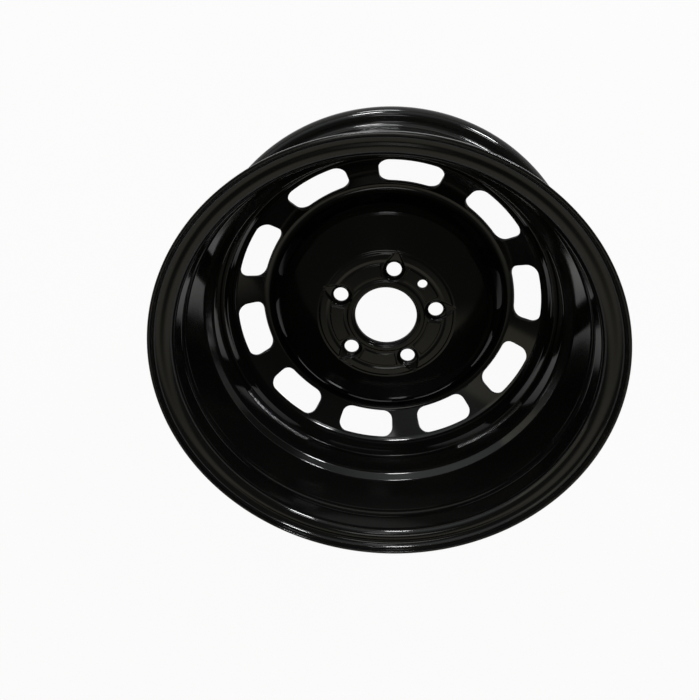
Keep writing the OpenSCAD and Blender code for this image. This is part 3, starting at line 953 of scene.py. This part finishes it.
def weld_beads():
    """Rippled fillet beads between the skirt's edge and the drop well."""
    wall = WELL_R - RIM_T - WELD_FIT
    foot = SKIRT_EDGE + WELD_FIT
    lap = DISC_T - WELD_TOE_GAP
    half = math.radians(WELD_SPAN) / 2
    turn = np.linspace(-half, half, WELD_STEPS)
    length = (turn + half) * wall
    wander = np.sin(length * LONG_WAVE) + SHORT_SHARE * np.sin(length * SHORT_WAVE + SHORT_LAG)
    drift = RIPPLE_DRIFT * np.sin(length * RIPPLE_DRIFT_WAVE)
    ripple = np.abs(np.sin(length * math.pi / RIPPLE_LEN + drift))
    taper = np.clip(np.minimum(length, length[-1] - length) / WELD_END_LEN, WELD_END_LEAST, 1)
    swell = np.sqrt(taper * (2 - taper)) * (WELD_FILL + WANDER_H * wander + RIPPLE_H * (ripple - 0.5))

    # Section of a bead at full size, from its corner: the corner itself, then its face from toe to wall
    share = np.linspace(0, 1, WELD_SECTION_STEPS)[:, None]
    bulge = -unit(np.array([WELD_LEG, lap])) * WELD_BULGE
    toe, top = np.array([-lap, 0]), np.array([0, WELD_LEG])
    face = toe * (1 - share) + top * share + bulge * np.sin(math.pi * share)
    section = np.vstack([[0, 0], face])

    rows = []
    for angle, size in zip(turn + math.radians(WELD_ANGLE), swell):
        row = np.array([wall, foot]) + section * size
        rows.append(round_axle(row[:, 0], np.full(len(row), angle), row[:, 1]))
    sheet = Sheet()
    sheet.solid(rows)
    beads = run_tree(sheet.mesh("bead"), REPEAT, {"Count": WELD_COUNT, "Paint": WELD_PAINT})
    return join_meshes("weld_beads", [beads], WELD_PAINT)


def camera():
    """The camera that was fitted to the photograph."""
    tilt, yaw, pitch, roll = (math.radians(v) for v in (VIEW_TILT, VIEW_YAW, VIEW_PITCH, VIEW_ROLL))
    away = Vector((0, math.sin(tilt), math.cos(tilt))) * VIEW_DISTANCE
    forward = -away.normalized()
    up = Vector((0, math.cos(tilt), -math.sin(tilt)))
    look = Matrix((forward.cross(up), -up, forward))
    look = Matrix.Rotation(pitch, 3, "X") @ Matrix.Rotation(yaw, 3, "Y") @ Matrix.Rotation(roll, 3, "Z") @ look
    spin = Matrix.Rotation(math.radians(VIEW_SPIN), 3, "Z")
    flip = Matrix.Diagonal((1, -1, -1))
    data = bpy.data.cameras.new("photo_view")
    data.sensor_width = SENSOR_W
    data.lens = LENS
    data.clip_start = CLIP_START
    view = new_object("photo_view", data)
    place = Matrix.Translation((spin @ (away + LIP_CENTRE)) * MM)
    view.matrix_world = place @ (spin @ (flip @ look).transposed()).to_4x4()
    bpy.context.scene.camera = view


def view_ray(off_axle, azimuth):
    """A direction given by its angles from the axle and round it, in degrees, as the view shows them."""
    tip, turn = math.radians(off_axle), math.radians(azimuth + VIEW_SPIN)
    return Vector((math.sin(tip) * math.cos(turn), math.sin(tip) * math.sin(turn), math.cos(tip)))


def lamp(name, off_axle, azimuth, width, height, glow, colour):
    """A panel that faces the wheel. Its glow is how many times brighter than white it looks."""
    data = bpy.data.lights.new(name, "AREA")
    data.shape = "RECTANGLE"
    data.size, data.size_y = width * MM, height * MM
    data.energy = glow * math.pi * width * height * MM * MM
    data.color = colour
    piece = new_object(name, data)
    ray = view_ray(off_axle, azimuth)
    piece.location = ray * LAMP_DISTANCE * MM
    piece.rotation_euler = (-ray).to_track_quat("-Z", "Y").to_euler()


def white_floor():
    """White to the eye, dimmer in reflections, and a plain pale surface to all other light."""
    material, nodes, links = shader("white_floor")
    bsdf = nodes["Principled BSDF"]
    bsdf.inputs["Base Color"].default_value = (*FLOOR_COLOUR, 1)
    bsdf.inputs["Roughness"].default_value = FLOOR_ROUGHNESS
    bsdf.inputs["Specular IOR Level"].default_value = 0.0
    glow = nodes.new("ShaderNodeEmission")
    glow.inputs["Strength"].default_value = 1.0
    path = nodes.new("ShaderNodeLightPath")
    mirrored = maths(nodes, "MAXIMUM")
    dimmer = maths(nodes, "MULTIPLY")
    dimmer.inputs[1].default_value = MIRRORED_WHITE
    direct = maths(nodes, "MULTIPLY_ADD")
    direct.inputs[1].default_value = SEEN_WHITE
    mix = nodes.new("ShaderNodeMixShader")
    links.new(path.outputs["Is Glossy Ray"], mirrored.inputs[0])
    links.new(path.outputs["Is Transmission Ray"], mirrored.inputs[1])
    links.new(mirrored.outputs["Value"], dimmer.inputs[0])
    links.new(path.outputs["Is Camera Ray"], direct.inputs[0])
    links.new(dimmer.outputs["Value"], direct.inputs[2])
    links.new(direct.outputs["Value"], mix.inputs["Fac"])
    links.new(bsdf.outputs["BSDF"], mix.inputs[1])
    links.new(glow.outputs["Emission"], mix.inputs[2])
    links.new(mix.outputs["Shader"], nodes["Material Output"].inputs["Surface"])
    return material


def floor():
    """A round floor under the wheel that rises to a wall far off."""
    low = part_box("rim_barrel")[0].z / MM
    turn = np.linspace(0, 2 * math.pi, FLOOR_STEPS + 1)[:-1]
    section = [(FLOOR_MIDDLE_R, 0), (BACKDROP_R - COVE_W, 0), (BACKDROP_R - COVE_KNEE_W, COVE_KNEE_H),
               (BACKDROP_R, COVE_H), (BACKDROP_R, BACKDROP_H)]
    sheet = Sheet()
    sheet.grid([round_axle(np.full(FLOOR_STEPS, r), turn, np.full(FLOOR_STEPS, low + h)) for r, h in section])
    sheet.faces.append(list(range(FLOOR_STEPS)))
    piece = new_object("floor", sheet.mesh("floor"))
    piece.data.polygons.foreach_set("use_smooth", np.ones(len(piece.data.polygons), bool))
    piece.data.materials.append(white_floor())


def room():
    """A dim room with two pale sides."""
    world = bpy.data.worlds.new("room")
    bpy.context.scene.world = world
    world.use_nodes = True
    nodes, links = world.node_tree.nodes, world.node_tree.links
    where = nodes.new("ShaderNodeTexCoord")
    darker = None
    for side, start, full, pale in ROOM_SIDES:
        lean = nodes.new("ShaderNodeVectorMath")
        lean.operation = "DOT_PRODUCT"
        lean.inputs[1].default_value = view_ray(*side)
        share = map_range(nodes, math.cos(math.radians(start)), math.cos(math.radians(full)))
        share.interpolation_type = "SMOOTHSTEP"
        tone = colour_mix(nodes)
        tone.inputs["A"].default_value = (*ROOM_DARK, 1)
        tone.inputs["B"].default_value = (*pale, 1)
        links.new(where.outputs["Generated"], lean.inputs[0])
        links.new(lean.outputs["Value"], share.inputs["Value"])
        links.new(share.outputs["Result"], tone.inputs["Factor"])
        if darker:
            links.new(darker.outputs["Result"], tone.inputs["A"])
        darker = tone
    links.new(darker.outputs["Result"], nodes["Background"].inputs["Color"])


for node, make, slot in (("rim_barrel", rim_barrel, "black_paint"), ("wheel_disc", wheel_disc, "black_paint"),
                         ("weld_beads", weld_beads, "weld_paint")):
    piece = new_object(node + "_finish", make())
    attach(piece, "root")
    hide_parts(node)

camera()
floor()
room()
for panel in LAMPS:
    lamp(*panel)
bpy.context.scene.view_settings.view_transform = "Standard"
